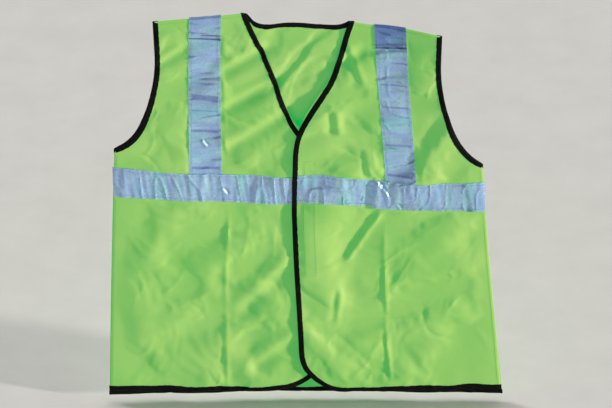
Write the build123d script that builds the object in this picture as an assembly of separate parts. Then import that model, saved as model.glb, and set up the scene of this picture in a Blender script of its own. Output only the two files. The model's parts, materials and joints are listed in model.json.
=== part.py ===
from build123d import *
import os
from math import pi, sin

# High visibility vest, hanging upright. Millimetres: the front faces -Y, the wearer's left is +X,
# +Z is up and the lowest point of the back hem is at Z = 0. Outlines are drawn in X and Z for the
# wearer's left side and mirrored for the right. Each piece is a layer of cloth of even thickness
# that lies on one of three gently curved base surfaces.

# Body outline
HEM_HALF_WIDTH = 313.0
CHEST_HALF_WIDTH = 292.0
ARMHOLE_BOTTOM_Z = 441.0
SHOULDER_TIP = (229.0, 690.0)
ARMHOLE_MIDDLE = (227.0, 605.0)
ARMHOLE_CURVE = (246.0, 508.0)
NECK_POINT = (82.0, 710.0)
BACK_NECK_DROP = 15.0
FRONT_HEM_Z = 18.0
CORNER_HEIGHT = 68.0

# Front opening: how far each front passes the centre line, and the shape of its neck edge
OVER_EDGE_X = -8.0
OVER_NECK_CURVE = [(49.0, 594.0)]
OVER_NECK_END_Z = 445.0
OVER_CORNER_WIDTH = 55.0
UNDER_EDGE_X = -36.0
UNDER_NECK_CURVE = [(38.0, 594.0), (2.0, 498.0)]
UNDER_NECK_END_Z = 425.0
UNDER_CORNER_WIDTH = 76.0

# Depth of the hanging body
SEAM_HALF_GAP = 0.9
FRONT_HEM_DEPTH = 8.0
BACK_HEM_DEPTH = 6.0
BACK_MIDDLE_DEPTH = 12.0
LAP = 3.8
LAP_FULL_X = 38.0
LAP_NONE_X = 84.0

# Fold line of each front flap, from beside the neck point to the hem
FOLD_TOP_X = 93.0
FOLD_HEM_X = 127.0
FOLD_HALF_GAP = 0.25

# Layers, as offsets outwards from the base surface
FABRIC = (0.0, 0.8)
BINDING = (-0.7, 1.5)
BINDING_SLOT = (-0.15, 0.95)
SHOULDER_TAPE = (1.0, 1.5)
WAIST_TAPE = (1.9, 2.4)
LOOP_STRIP = (1.0, 1.7)
HOOK_STRIP = (-1.0, -0.2)
FABRIC_THREAD = (0.9, 1.2)
SHOULDER_TAPE_THREAD = (1.55, 1.8)
WAIST_TAPE_THREAD = (2.5, 2.8)
LOOP_STRIP_THREAD = (1.75, 1.9)

# Bindings, tapes, closure and stitching
BINDING_WIDTH = 8.0
BINDING_WEB = 1.3
FABRIC_INSET = 1.6
TAPE_WIDTH = 50.0
SHOULDER_TAPE_TOP_X = 146.0
SHOULDER_TAPE_WAIST_X = 156.0
BACK_TAPE_WAIST_X = 150.0
WAIST_TAPE_Z = 383.0
TAPE_LAP_DROP = 50.0
TAPE_LAP_GAP = 0.5
TAPE_UNDERLAP = 20.0
TAPE_SHORT_OF_SEAM = 1.5
UNDER_TAPE_END_X = -5.0
OVER_TAPE_INSET = 3.0
STRIP_WIDTH = 18.0
STRIP_CENTRE_X = 18.0
STRIP_TOP_Z = 436.0
STRIP_LENGTH = 205.0
STITCH_WIDTH = 1.0
STITCH_INSET = 4.0
STRIP_STITCH_INSET = 1.5

# What joins a front and a back layer over the shoulder line, and the cloth's clearance below it
CAP_HEIGHT = 2.0
CAP_REACH = 2.6
CAP_CLEARANCE = 0.4

# Extent of the base surfaces, and the reach of a cutting prism each way along Y
SURFACE_HALF_WIDTH = 345.0
SURFACE_BOTTOM_Z = -30.0
SURFACE_TOP_Z = 740.0
SURFACE_COLUMNS = 30
SURFACE_ROWS = 16
PRISM_REACH = 60.0


def side_seam_x(z):
    """Half width of the body along its straight side seam."""
    return HEM_HALF_WIDTH - (HEM_HALF_WIDTH - CHEST_HALF_WIDTH) * z / ARMHOLE_BOTTOM_Z


def bulge(x, z):
    """Share of the full depth: one on the centre line and none at the side seams."""
    return 1 - (x / side_seam_x(z)) ** 2


def under_depth(x, z):
    """Depth of both fronts before the lap. It falls in a straight line, so a flap can fold on it."""
    return SEAM_HALF_GAP + FRONT_HEM_DEPTH * (1 - z / NECK_POINT[1]) * bulge(x, z)


def over_depth(x, z):
    """Depth of the wearer's left front, which lies over the right one at the centre."""
    share = min(max((LAP_NONE_X - x) / (LAP_NONE_X - LAP_FULL_X), 0), 1)
    return under_depth(x, z) + LAP * share * share * (3 - 2 * share)


def back_depth(x, z):
    """Depth of the back, fullest between the shoulder blades and the waist."""
    height = z / NECK_POINT[1]
    full = BACK_HEM_DEPTH * (1 - height) + BACK_MIDDLE_DEPTH * sin(pi * height)
    return SEAM_HALF_GAP + full * bulge(x, z)


def base_surface(depth, outward):
    """Smooth face through the depth formula, facing outward along Y."""
    rows = []
    for row in range(SURFACE_ROWS + 1):
        z = SURFACE_BOTTOM_Z + (SURFACE_TOP_Z - SURFACE_BOTTOM_Z) * row / SURFACE_ROWS
        columns = []
        for column in range(SURFACE_COLUMNS + 1):
            x = SURFACE_HALF_WIDTH * (2 * column / SURFACE_COLUMNS - 1)
            columns.append(Vector(x, outward * depth(x, z), z))
        rows.append(columns)
    return Face.make_surface_from_array_of_points(rows)


OVER = (base_surface(over_depth, -1), -1)
UNDER = (base_surface(under_depth, -1), -1)
BACK = (base_surface(back_depth, 1), 1)


def layer(base, outline, offsets):
    """Solid between two offsets from a base surface, within an outline."""
    face, outward = base
    inner, outer = offsets
    lifted = face.moved(Location((0, outward * inner, 0)))
    slab = extrude(lifted, amount=outer - inner, dir=(0, outward, 0))
    prism = extrude(Plane.XZ * outline, amount=PRISM_REACH, both=True)
    return slab & prism


def flipped(shape):
    """Mirror image on the wearer's right side."""
    return mirror(shape, about=Plane.YZ)


def unflipped(shape):
    """The shape itself, for the wearer's left side."""
    return shape


def box_outline(x_low, z_low, x_high, z_high):
    """Upright rectangle between two corners."""
    corners = [(x_low, z_low), (x_high, z_low), (x_high, z_high), (x_low, z_high)]
    return make_face(Polyline(*corners, close=True))


def ribbon(edges, width):
    """Flat strip of even width centred on the edges."""
    return Sketch() + [make_face(face.outer_wire()) for face in trace(edges, line_width=width).faces()]


def band(points, width):
    """Strip of even width centred on a straight line between points."""
    return ribbon(Polyline(*points), width)


def edge_strip(edges, outline):
    """Strip as wide as a binding, just inside the given edges of an outline."""
    return ribbon(edges, 2 * BINDING_WIDTH) & outline


def armhole_edge():
    """Armhole from the shoulder tip to the top of the side seam."""
    end = (CHEST_HALF_WIDTH, ARMHOLE_BOTTOM_Z)
    return Spline(SHOULDER_TIP, ARMHOLE_MIDDLE, ARMHOLE_CURVE, end, tangents=[(-0.03, -1), (1, -0.5)])


def shoulder_edge():
    """Straight shoulder line from the neck point to the shoulder tip."""
    return Line(NECK_POINT, SHOULDER_TIP)


def side_edge(hem_z):
    """Straight side seam from the armhole to the hem."""
    return Line((CHEST_HALF_WIDTH, ARMHOLE_BOTTOM_Z), (side_seam_x(hem_z), hem_z))


def back_neck_edge():
    """Shallow back neckline between the two neck points."""
    x, z = NECK_POINT
    return ThreePointArc((-x, z), (0, z - BACK_NECK_DROP), (x, z))


def back_hem_edge():
    """Straight back hem."""
    return Line((-HEM_HALF_WIDTH, 0), (HEM_HALF_WIDTH, 0))


def back_outline():
    """Whole back panel."""
    half = [shoulder_edge(), armhole_edge(), side_edge(0)]
    return make_face([back_neck_edge(), back_hem_edge()] + half + [flipped(edge) for edge in half])


def opening_edges(edge_x, neck_curve, neck_end_z, corner_width):
    """Neck edge, centre edge, rounded corner and hem of one front, in order."""
    corner_z = FRONT_HEM_Z + CORNER_HEIGHT
    corner_centre = (edge_x + corner_width, corner_z)
    neck_tangents = [(-0.38, -1), (0, -1)]
    return [
        Spline(NECK_POINT, *neck_curve, (edge_x, neck_end_z), tangents=neck_tangents),
        Line((edge_x, neck_end_z), (edge_x, corner_z)),
        EllipticalCenterArc(corner_centre, corner_width, CORNER_HEIGHT, 180, arc_size=90),
        Line((corner_centre[0], FRONT_HEM_Z), (side_seam_x(FRONT_HEM_Z), FRONT_HEM_Z)),
    ]


def fold_x(z):
    """Fold line of a flap: straight, leaning outwards down to the hem."""
    return FOLD_TOP_X + (FOLD_HEM_X - FOLD_TOP_X) * (1 - z / NECK_POINT[1])


def beside_fold(far_x, gap):
    """Region between the fold line, moved by a gap, and an upright line at far_x."""
    top, bottom = SURFACE_TOP_Z, SURFACE_BOTTOM_Z
    near_top = (fold_x(top) + gap, top)
    near_bottom = (fold_x(bottom) + gap, bottom)
    return make_face(Polyline((far_x, bottom), near_bottom, near_top, (far_x, top), close=True))


def flap_region():
    """Everything between the fold line and the far edge of the lap."""
    return beside_fold(-SURFACE_HALF_WIDTH, -FOLD_HALF_GAP)


def fixed_region():
    """Everything between the fold line and the side seam."""
    return beside_fold(SURFACE_HALF_WIDTH, FOLD_HALF_GAP)


def folded_binding(base, edges, outline, region=None):
    """Binding of U section: a strip along the edges with a slot where the fabric goes in."""
    strip = edge_strip(edges, outline)
    slot = ribbon(edges, 2 * BINDING_WIDTH + 1) - ribbon(edges, 2 * BINDING_WEB)
    if region is not None:
        strip = strip & region
    return layer(base, strip, BINDING) - layer(base, slot & outline, BINDING_SLOT)


def stitch_rows(points):
    """Two stitch rows, one inside each edge of a straight tape between two points."""
    start, end = points
    shift = TAPE_WIDTH / 2 - STITCH_INSET
    across = (Vector(*end) - Vector(*start)).normalized().rotate(Axis.Z, 90) * shift
    rows = Sketch()
    for shifted in (across, -across):
        rows += band([Vector(*start) + shifted, Vector(*end) + shifted], STITCH_WIDTH)
    return rows


def front_tape_x(z):
    """Centre of a front shoulder tape, which leans outwards down to the waist."""
    share = (NECK_POINT[1] - z) / (NECK_POINT[1] - WAIST_TAPE_Z)
    return SHOULDER_TAPE_TOP_X + (SHOULDER_TAPE_WAIST_X - SHOULDER_TAPE_TOP_X) * share


def front_tape_line(top_z, bottom_z):
    """Centre line of a front shoulder tape between two heights."""
    return [(front_tape_x(top_z), top_z), (front_tape_x(bottom_z), bottom_z)]


def waist_tape_outline(x_low, x_high):
    """Level waist tape between two ends."""
    half = TAPE_WIDTH / 2
    return box_outline(x_low, WAIST_TAPE_Z - half, x_high, WAIST_TAPE_Z + half)


def waist_stitching(x_low, x_high):
    """Two level stitch rows on the waist tape between two ends."""
    return stitch_rows([(x_low, WAIST_TAPE_Z), (x_high, WAIST_TAPE_Z)])


def strip_outline():
    """Upright closure strip beside the centre line."""
    half = STRIP_WIDTH / 2
    low = STRIP_TOP_Z - STRIP_LENGTH
    return box_outline(STRIP_CENTRE_X - half, low, STRIP_CENTRE_X + half, STRIP_TOP_Z)


def strip_stitching():
    """Rectangle of stitching just inside the edge of a closure strip."""
    outside = offset(strip_outline(), -STRIP_STITCH_INSET, kind=Kind.INTERSECTION)
    inside = offset(outside, -STITCH_WIDTH, kind=Kind.INTERSECTION)
    return outside - inside


def over_shoulder(front_part, back_part, cap_strip):
    """One solid from a front and a back layer, joined over the shoulder by the top of a strip."""
    cap = extrude(Plane.XZ * cap_strip, amount=CAP_REACH, both=True)
    return front_part + cap + back_part


def shoulder_cap(strip):
    """The top of a strip that runs up to the shoulder line."""
    return strip & ribbon(shoulder_edge(), 2 * CAP_HEIGHT)


def below_caps(outline):
    """Outline cut back on the wearer's left shoulder, to clear what passes over the shoulder."""
    return outline - ribbon(shoulder_edge(), 2 * (CAP_HEIGHT + CAP_CLEARANCE))


def below_shoulder():
    """Region under the shoulder line."""
    corners = [(0, 0), (SHOULDER_TIP[0], 0), SHOULDER_TIP, NECK_POINT, (0, NECK_POINT[1])]
    return make_face(Polyline(*corners, close=True))


def armhole_binding(base, flip, outline):
    """One armhole's binding: up the front edge, over the shoulder tip and down the back."""
    cap = shoulder_cap(edge_strip(armhole_edge(), outline))
    front_part = folded_binding(base, flip(armhole_edge()), flip(outline))
    back_part = folded_binding(BACK, flip(armhole_edge()), flip(outline))
    return over_shoulder(front_part, back_part, flip(cap))


def back_shoulder_tape(base, flip):
    """Tape up the back and over the shoulder, ending in a lap on the front."""
    overrun = NECK_POINT[1] + TAPE_WIDTH
    lap_z = NECK_POINT[1] - TAPE_LAP_DROP
    front_strip = band(front_tape_line(overrun, lap_z), TAPE_WIDTH) & below_shoulder()
    back_line = [(SHOULDER_TAPE_TOP_X, overrun), (BACK_TAPE_WAIST_X, WAIST_TAPE_Z)]
    back_strip = band(back_line, TAPE_WIDTH) & below_shoulder()
    front_part = layer(base, flip(front_strip), SHOULDER_TAPE)
    back_part = layer(BACK, flip(back_strip), SHOULDER_TAPE)
    return over_shoulder(front_part, back_part, flip(shoulder_cap(front_strip)))


def back_tape_stitching():
    """Two stitch rows down a back shoulder tape, from under the shoulder to the waist tape."""
    low = (BACK_TAPE_WAIST_X, WAIST_TAPE_Z + TAPE_WIDTH / 2)
    return stitch_rows([(SHOULDER_TAPE_TOP_X, SHOULDER_TIP[1]), low])


def shoulder_stitching():
    """Stitch row under the shoulder line, in two runs either side of the tape."""
    row = Pos(0, -STITCH_INSET) * ribbon(shoulder_edge(), STITCH_WIDTH)
    tape = band(front_tape_line(NECK_POINT[1], SHOULDER_TIP[1]), TAPE_WIDTH + 2)
    far_x = SHOULDER_TIP[0] - BINDING_WIDTH - 2
    return row & box_outline(FOLD_TOP_X + 1, 0, far_x, SURFACE_TOP_Z) - tape


def side_stitching():
    """Stitch row up the side seam, from the hem binding to the armhole binding."""
    row = Pos(-STITCH_INSET, 0) * ribbon(side_edge(FRONT_HEM_Z), STITCH_WIDTH)
    low = FRONT_HEM_Z + BINDING_WIDTH + 1
    return row & box_outline(0, low, HEM_HALF_WIDTH, ARMHOLE_BOTTOM_Z - 2 * BINDING_WIDTH)


def side_nodes(name, base, flip, opening, tape_end_x):
    """Every piece of one side of the vest, by node name. flip puts an outline on that side."""
    edges = opening_edges(*opening)
    front = make_face(edges + [side_edge(FRONT_HEM_Z), armhole_edge(), shoulder_edge()])
    fabric = below_caps(front)
    fabric = fabric - ribbon(edges, 2 * FABRIC_INSET) - ribbon(armhole_edge(), 2 * FABRIC_INSET)
    flap, fixed = flap_region(), fixed_region()
    seam_x = side_seam_x(WAIST_TAPE_Z) - TAPE_SHORT_OF_SEAM
    waist = waist_tape_outline(tape_end_x, seam_x)
    waist_stitches = waist_stitching(tape_end_x, seam_x)
    lap_z = NECK_POINT[1] - TAPE_LAP_DROP - TAPE_LAP_GAP
    waist_top_z = WAIST_TAPE_Z + TAPE_WIDTH / 2
    tape = band(front_tape_line(lap_z, waist_top_z - TAPE_UNDERLAP), TAPE_WIDTH)
    tape_stitches = stitch_rows(front_tape_line(lap_z, waist_top_z))
    side_edges = [flip(edge) for edge in edges]
    layers = {
        "front_panel_flap": (base, fabric & flap, FABRIC),
        "front_panel_side": (base, fabric & fixed, FABRIC),
        "front_shoulder_tape": (base, tape, SHOULDER_TAPE),
        "front_shoulder_tape_thread": (base, tape_stitches, SHOULDER_TAPE_THREAD),
        "waist_tape_flap": (base, waist & flap, WAIST_TAPE),
        "waist_tape_side": (base, waist & fixed, WAIST_TAPE),
        "waist_tape_flap_thread": (base, waist_stitches & flap, WAIST_TAPE_THREAD),
        "waist_tape_side_thread": (base, waist_stitches & fixed, WAIST_TAPE_THREAD),
        "back_shoulder_tape_thread": (BACK, back_tape_stitching(), SHOULDER_TAPE_THREAD),
        "shoulder_seam_thread": (base, shoulder_stitching(), FABRIC_THREAD),
        "side_seam_thread": (base, side_stitching(), FABRIC_THREAD),
    }
    nodes = {f"{name}_{node}": layer(on, flip(shape), at) for node, (on, shape, at) in layers.items()}
    nodes[f"{name}_front_edge_binding"] = folded_binding(base, side_edges, flip(front), flip(flap))
    nodes[f"{name}_front_hem_binding"] = folded_binding(base, side_edges, flip(front), flip(fixed))
    nodes[f"{name}_armhole_binding"] = armhole_binding(base, flip, front)
    nodes[f"{name}_back_shoulder_tape"] = back_shoulder_tape(base, flip)
    return nodes


def back_nodes():
    """The back panel, its two bindings and its waist tape."""
    outline = back_outline()
    fabric = flipped(below_caps(flipped(below_caps(outline))))
    for edge in (back_neck_edge(), back_hem_edge(), armhole_edge(), flipped(armhole_edge())):
        fabric = fabric - ribbon(edge, 2 * FABRIC_INSET)
    seam_x = side_seam_x(WAIST_TAPE_Z) - TAPE_SHORT_OF_SEAM
    return {
        "back_panel": layer(BACK, fabric, FABRIC),
        "back_neck_binding": folded_binding(BACK, back_neck_edge(), outline),
        "back_hem_binding": folded_binding(BACK, back_hem_edge(), outline),
        "back_waist_tape": layer(BACK, waist_tape_outline(-seam_x, seam_x), WAIST_TAPE),
        "back_waist_tape_thread": layer(BACK, waist_stitching(-seam_x, seam_x), WAIST_TAPE_THREAD),
    }


def closure_nodes():
    """Hook strip inside the over flap, loop strip on the under flap, and their stitching."""
    return {
        "hook_strip": layer(OVER, strip_outline(), HOOK_STRIP),
        "loop_strip": layer(UNDER, strip_outline(), LOOP_STRIP),
        "hook_strip_thread": layer(OVER, strip_stitching(), FABRIC_THREAD),
        "loop_strip_thread": layer(UNDER, strip_stitching(), LOOP_STRIP_THREAD),
    }


def all_nodes():
    """Every piece of the vest, by node name."""
    over = (OVER_EDGE_X, OVER_NECK_CURVE, OVER_NECK_END_Z, OVER_CORNER_WIDTH)
    under = (UNDER_EDGE_X, UNDER_NECK_CURVE, UNDER_NECK_END_Z, UNDER_CORNER_WIDTH)
    nodes = back_nodes()
    nodes.update(side_nodes("left", OVER, unflipped, over, OVER_EDGE_X + OVER_TAPE_INSET))
    nodes.update(side_nodes("right", UNDER, flipped, under, UNDER_TAPE_END_X))
    nodes.update(closure_nodes())
    return nodes


def write(nodes):
    """Write each piece to its own file, with the whole vest centred on the Z axis in Y."""
    boxes = [solid.bounding_box() for solid in nodes.values()]
    front_y = min(box.min.Y for box in boxes)
    back_y = max(box.max.Y for box in boxes)
    centre = Pos(0, -(front_y + back_y) / 2, 0)
    os.makedirs("parts", exist_ok=True)
    for name, solid in nodes.items():
        export_step(centre * solid, f"parts/{name}.step")


write(all_nodes())
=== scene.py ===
import json
import math
import bmesh
import bpy
import numpy as np
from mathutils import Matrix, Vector


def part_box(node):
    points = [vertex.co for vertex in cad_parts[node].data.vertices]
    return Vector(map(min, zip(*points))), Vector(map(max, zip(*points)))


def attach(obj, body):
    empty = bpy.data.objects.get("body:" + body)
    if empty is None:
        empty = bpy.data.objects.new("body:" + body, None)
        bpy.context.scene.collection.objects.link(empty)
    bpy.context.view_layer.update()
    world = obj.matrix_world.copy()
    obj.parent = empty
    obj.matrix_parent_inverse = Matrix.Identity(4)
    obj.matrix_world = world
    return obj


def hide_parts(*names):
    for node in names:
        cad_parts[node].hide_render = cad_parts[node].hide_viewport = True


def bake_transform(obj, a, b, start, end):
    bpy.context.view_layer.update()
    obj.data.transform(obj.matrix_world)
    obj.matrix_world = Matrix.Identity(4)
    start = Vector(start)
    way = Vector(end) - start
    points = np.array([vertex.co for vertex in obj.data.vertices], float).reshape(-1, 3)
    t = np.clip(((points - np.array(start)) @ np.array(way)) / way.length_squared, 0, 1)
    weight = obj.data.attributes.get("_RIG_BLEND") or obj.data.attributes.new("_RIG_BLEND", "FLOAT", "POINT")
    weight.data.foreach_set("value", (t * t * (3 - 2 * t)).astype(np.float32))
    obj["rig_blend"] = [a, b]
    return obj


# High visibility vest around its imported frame. Metres; the front faces -Y and the wearer's left is +X.
# Every cloth piece is drawn on the flat pattern in X and Z and laid on a shared surface that holds
# the hanging shape, the simulated buckles and the creases, so that layers stay in order.

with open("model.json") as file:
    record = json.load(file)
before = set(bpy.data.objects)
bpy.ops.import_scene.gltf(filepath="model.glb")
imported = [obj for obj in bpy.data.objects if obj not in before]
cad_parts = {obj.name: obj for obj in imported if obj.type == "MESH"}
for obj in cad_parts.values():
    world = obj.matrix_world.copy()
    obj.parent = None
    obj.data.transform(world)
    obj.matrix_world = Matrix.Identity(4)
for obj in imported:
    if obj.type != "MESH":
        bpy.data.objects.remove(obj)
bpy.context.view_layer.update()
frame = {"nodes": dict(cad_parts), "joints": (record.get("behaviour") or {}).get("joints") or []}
JOINTS = {joint["name"]: joint for joint in frame["joints"]}


# ---- sizes taken from the frame

def crossings(node, z):
    """Lowest and highest X of a CAD node at each height in z."""
    mesh = frame["nodes"][node].data
    points = np.array([v.co for v in mesh.vertices], float)
    edges = np.array([e.vertices for e in mesh.edges], int)
    a, b = points[edges[:, 0]], points[edges[:, 1]]
    sloped = np.abs(a[:, 2] - b[:, 2]) > 1e-9
    a, b = a[sloped], b[sloped]
    lows, highs = [], []
    for height in np.atleast_1d(z):
        share = (height - a[:, 2]) / (b[:, 2] - a[:, 2])
        hit = (share >= 0) & (share <= 1)
        x = (a[:, 0] + (b[:, 0] - a[:, 0]) * share)[hit]
        lows.append(x.min())
        highs.append(x.max())
    return np.array(lows), np.array(highs)


TINY = 0.0004
CURVE_STEP = 0.002
HEM_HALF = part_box("back_hem_binding")[1].x
CHEST_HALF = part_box("left_armhole_binding")[1].x
NECK_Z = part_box("left_front_edge_binding")[1].z
TIP_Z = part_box("left_armhole_binding")[1].z
FRONT_HEM_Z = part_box("left_front_edge_binding")[0].z
NECK_X = crossings("left_front_edge_binding", NECK_Z - TINY)[0][0]
TIP_X = crossings("left_armhole_binding", TIP_Z - TINY)[1][0]
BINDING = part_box("back_hem_binding")[1].z
NECK_DROP = NECK_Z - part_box("back_neck_binding")[0].z - BINDING
WAIST_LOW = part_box("back_waist_tape")[0].z
WAIST_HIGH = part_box("back_waist_tape")[1].z
WAIST_Z = (WAIST_LOW + WAIST_HIGH) / 2
TAPE = WAIST_HIGH - WAIST_LOW
TAPE_LAP_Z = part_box("left_front_shoulder_tape")[1].z
STRIP_LOW, STRIP_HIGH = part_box("hook_strip")
STRIP_X = (STRIP_LOW.x + STRIP_HIGH.x) / 2
STRIP_HALF = (STRIP_HIGH.x - STRIP_LOW.x) / 2

# Depth of the hanging body, as the frame has it
SEAM_GAP = 0.0009
FRONT_DEPTH = 0.008
BACK_HEM_DEPTH = 0.006
BACK_DEPTH = 0.012
LAP = 0.0038
LAP_FULL_X = 0.038
LAP_NONE_X = 0.084
MIDDLE_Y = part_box("back_panel")[0].y - SEAM_GAP

# Where the armhole meets the side seam, found on the straight side seam
ARMHOLE_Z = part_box("left_armhole_binding")[0].z + BINDING * 0.92


def smooth(t):
    """Smoothstep of t, held between 0 and 1."""
    t = np.clip(t, 0, 1)
    return t * t * (3 - 2 * t)


def side_x(z):
    """Half width of the body along its straight side seam."""
    return HEM_HALF - (HEM_HALF - CHEST_HALF) * z / ARMHOLE_Z


def shoulder_z(x):
    """Height of the shoulder line over x, on either side."""
    share = (np.abs(x) - NECK_X) / (TIP_X - NECK_X)
    return NECK_Z + (TIP_Z - NECK_Z) * share


def soften(values):
    """Smooth a row of values in place, its ends kept."""
    values[1:-1] = (values[:-2] + 2 * values[1:-1] + values[2:]) / 4


def unit(vectors):
    """The vectors in each row, made one long."""
    return vectors / np.linalg.norm(vectors, axis=1, keepdims=True)


def distances(path):
    """Distance along a path at each of its points."""
    gaps = np.linalg.norm(np.diff(path, axis=0), axis=1)
    return np.concatenate([[0], np.cumsum(gaps)])


class Curve:
    """Edge of the pattern as X over Z, sampled from a CAD node and lightly smoothed."""

    def __init__(self, node, z_low, z_high, highest):
        self.z = np.arange(z_low + TINY, z_high, CURVE_STEP)
        self.z = np.append(self.z, z_high - TINY)
        low, high = crossings(node, self.z)
        self.x = high if highest else low
        soften(self.x)
        soften(self.x)

    def __call__(self, z):
        return np.interp(z, self.z, self.x)


ARMHOLE = Curve("left_armhole_binding", ARMHOLE_Z, TIP_Z, True)
OPENING = {
    "left": Curve("left_front_edge_binding", FRONT_HEM_Z, NECK_Z, False),
    "right": Curve("right_front_edge_binding", FRONT_HEM_Z, NECK_Z, True),
}
SIGN = {"left": 1, "right": -1}


def outer_x(z):
    """Half width of the pattern at any height: side seam below, armhole above."""
    return np.where(z < ARMHOLE_Z, side_x(z), ARMHOLE(z))


def opening_x(side, z):
    """Edge of one front at the opening, measured towards that side."""
    return OPENING[side](z) * SIGN[side]


def neck_z(x):
    """Back neckline: a shallow arc between the neck points."""
    return NECK_Z - NECK_DROP * (1 - np.clip(np.abs(x) / NECK_X, 0, 1) ** 5)


# ---- cloth fields on the flat pattern

CELL = 0.0065
GRID_X = np.arange(-0.333, 0.3331, CELL)
GRID_Z = np.arange(-0.018, 0.7381, CELL)


def ripples(x, z, seed, count, wavelengths, headings=(0, 180)):
    """Smooth sum of waves with seeded lengths, headings in degrees and phases, about unit size."""
    rng = np.random.default_rng(seed)
    total = np.zeros(np.broadcast(x, z).shape)
    for _ in range(count):
        turn = math.radians(rng.uniform(*headings))
        k = 2 * math.pi / rng.uniform(*wavelengths)
        total += np.sin(k * (x * math.cos(turn) + z * math.sin(turn)) + rng.uniform(0, 2 * math.pi))
    return total / math.sqrt(count)


def crease(x, z, start, end, width, height, sharp=False):
    """Fold along a line on the pattern: a soft S step, or a sharp ridge, fading past both ends."""
    ax, az = start
    bx, bz = end
    length = math.hypot(bx - ax, bz - az)
    ux, uz = (bx - ax) / length, (bz - az) / length
    along = ((x - ax) * ux + (z - az) * uz) / length
    across = ((x - ax) * -uz + (z - az) * ux) / width
    fade = smooth(along / 0.25 + 0.5) * smooth((1 - along) / 0.25 + 0.5)
    shape = np.exp(-np.abs(across)) if sharp else across * np.exp(-across * across)
    return height * fade * shape


def creases(x, z, folds, sharp=False):
    """Sum of the folds in a list of (start X, start Z, end X, end Z, width, height)."""
    return sum(crease(x, z, fold[:2], fold[2:4], fold[4], fold[5], sharp) for fold in folds)


def inside_front(x, z):
    """True where either front has cloth."""
    under_shoulder = (z < shoulder_z(x)) & (z > FRONT_HEM_Z)
    opened = (x > OPENING["left"](z)) | (x < OPENING["right"](z))
    return under_shoulder & opened & (np.abs(x) < outer_x(z))


def inside_back(x, z):
    """True where the back panel has cloth."""
    top = np.where(np.abs(x) < NECK_X, neck_z(x), shoulder_z(x))
    return (z > 0) & (z < top) & (np.abs(x) < outer_x(z))


# Folds start along lines that run up to the wearer's left
START_HEADINGS = (108, 166)
START_WAVE = 0.002
FRAMES = 30
STIFFNESS = 0.4


def simulate(name, inside, seed, slack):
    """Cloth pinned round its outline, a little too large for it, so that it buckles as sewn cloth does.
    Returns how far each point of the pattern grid moves."""
    x, z = np.meshgrid(GRID_X, GRID_Z)
    field = np.zeros(x.shape + (3,))
    mask = inside(x, z)
    index = np.full(x.shape, -1)
    index[mask] = np.arange(mask.sum())
    start = START_WAVE * ripples(x, z, seed, 14, (0.06, 0.2), START_HEADINGS)
    rest = np.stack([x[mask], start[mask], z[mask]], 1)
    corners = [index[:-1, :-1], index[:-1, 1:], index[1:, 1:], index[1:, :-1]]
    quads = np.stack([c.ravel() for c in corners], 1)
    quads = quads[(quads >= 0).all(1)]
    padded = np.pad(mask, 1)
    shifts = [(0, 1), (2, 1), (1, 0), (1, 2), (0, 0), (0, 2), (2, 0), (2, 2)]
    whole = np.ones_like(mask)
    for row, column in shifts:
        whole &= padded[row:row + mask.shape[0], column:column + mask.shape[1]]
    mesh = bpy.data.meshes.new(name)
    mesh.from_pydata(rest.tolist(), [], quads.tolist())
    obj = bpy.data.objects.new(name, mesh)
    bpy.context.scene.collection.objects.link(obj)
    pins = obj.vertex_groups.new(name="pins")
    pins.add(index[mask & ~whole].tolist(), 1.0, "REPLACE")
    cloth = obj.modifiers.new("cloth", "CLOTH")
    cloth.settings.quality = 6
    cloth.settings.mass = 0.15
    cloth.settings.tension_stiffness = 30
    cloth.settings.compression_stiffness = 30
    cloth.settings.shear_stiffness = 12
    cloth.settings.bending_stiffness = STIFFNESS
    cloth.settings.air_damping = 2
    cloth.settings.shrink_min = -slack
    cloth.settings.vertex_group_mass = "pins"
    cloth.settings.effector_weights.gravity = 0
    cloth.collision_settings.use_collision = False
    cloth.point_cache.frame_start = 1
    cloth.point_cache.frame_end = FRAMES
    scene = bpy.context.scene
    for step in range(1, FRAMES + 1):
        scene.frame_set(step)
    shaped = obj.evaluated_get(bpy.context.evaluated_depsgraph_get()).to_mesh()
    moved = np.zeros(len(shaped.vertices) * 3)
    shaped.vertices.foreach_get("co", moved)
    field[mask] = moved.reshape(-1, 3) - rest
    field[mask, 1] += start[mask]
    bpy.data.objects.remove(obj)
    scene.frame_set(1)
    return field


def blurred(field, times):
    """The field with its short waves smoothed away."""
    out = field.copy()
    for _ in range(times):
        soften(out)
        soften(out.swapaxes(0, 1))
    return out


def sample(field, x, z):
    """Cubic B-spline value of a grid field at pattern points."""
    u = np.clip((x - GRID_X[0]) / CELL, 1, len(GRID_X) - 3.001)
    v = np.clip((z - GRID_Z[0]) / CELL, 1, len(GRID_Z) - 3.001)
    i, j = u.astype(int), v.astype(int)
    s, t = u - i, v - j

    def weights(f):
        return [(1 - f) ** 3 / 6, (3 * f ** 3 - 6 * f ** 2 + 4) / 6,
                (-3 * f ** 3 + 3 * f ** 2 + 3 * f + 1) / 6, f ** 3 / 6]

    total = 0
    for column, wx in enumerate(weights(s)):
        for row, wz in enumerate(weights(t)):
            total = total + (wx * wz)[..., None] * field[j + row - 1, i + column - 1]
    return total


def centre_line(node):
    """Centre X of an upright CAD tape as a straight line over Z."""
    low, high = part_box(node)
    heights = np.array([low.z + 0.02, high.z - 0.02])
    left, right = crossings(node, heights)
    slope = (np.mean((left[1], right[1])) - np.mean((left[0], right[0]))) / (heights[1] - heights[0])
    base = np.mean((left[0], right[0]))
    return lambda z: base + slope * (z - heights[0])


FRONT_TAPE_X = centre_line("left_front_shoulder_tape")
BACK_TAPE_X = centre_line("left_back_shoulder_tape_thread")


def tape_mask(x, z, tape_x, margin):
    """One where a tape holds the cloth flat, zero away from it."""
    band = smooth((TAPE / 2 + margin - np.abs(z - WAIST_Z)) / margin)
    upright = smooth((TAPE / 2 + margin - np.abs(np.abs(x) - tape_x(z))) / margin)
    return np.maximum(band, upright * smooth((z - WAIST_Z) / 0.01))


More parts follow.
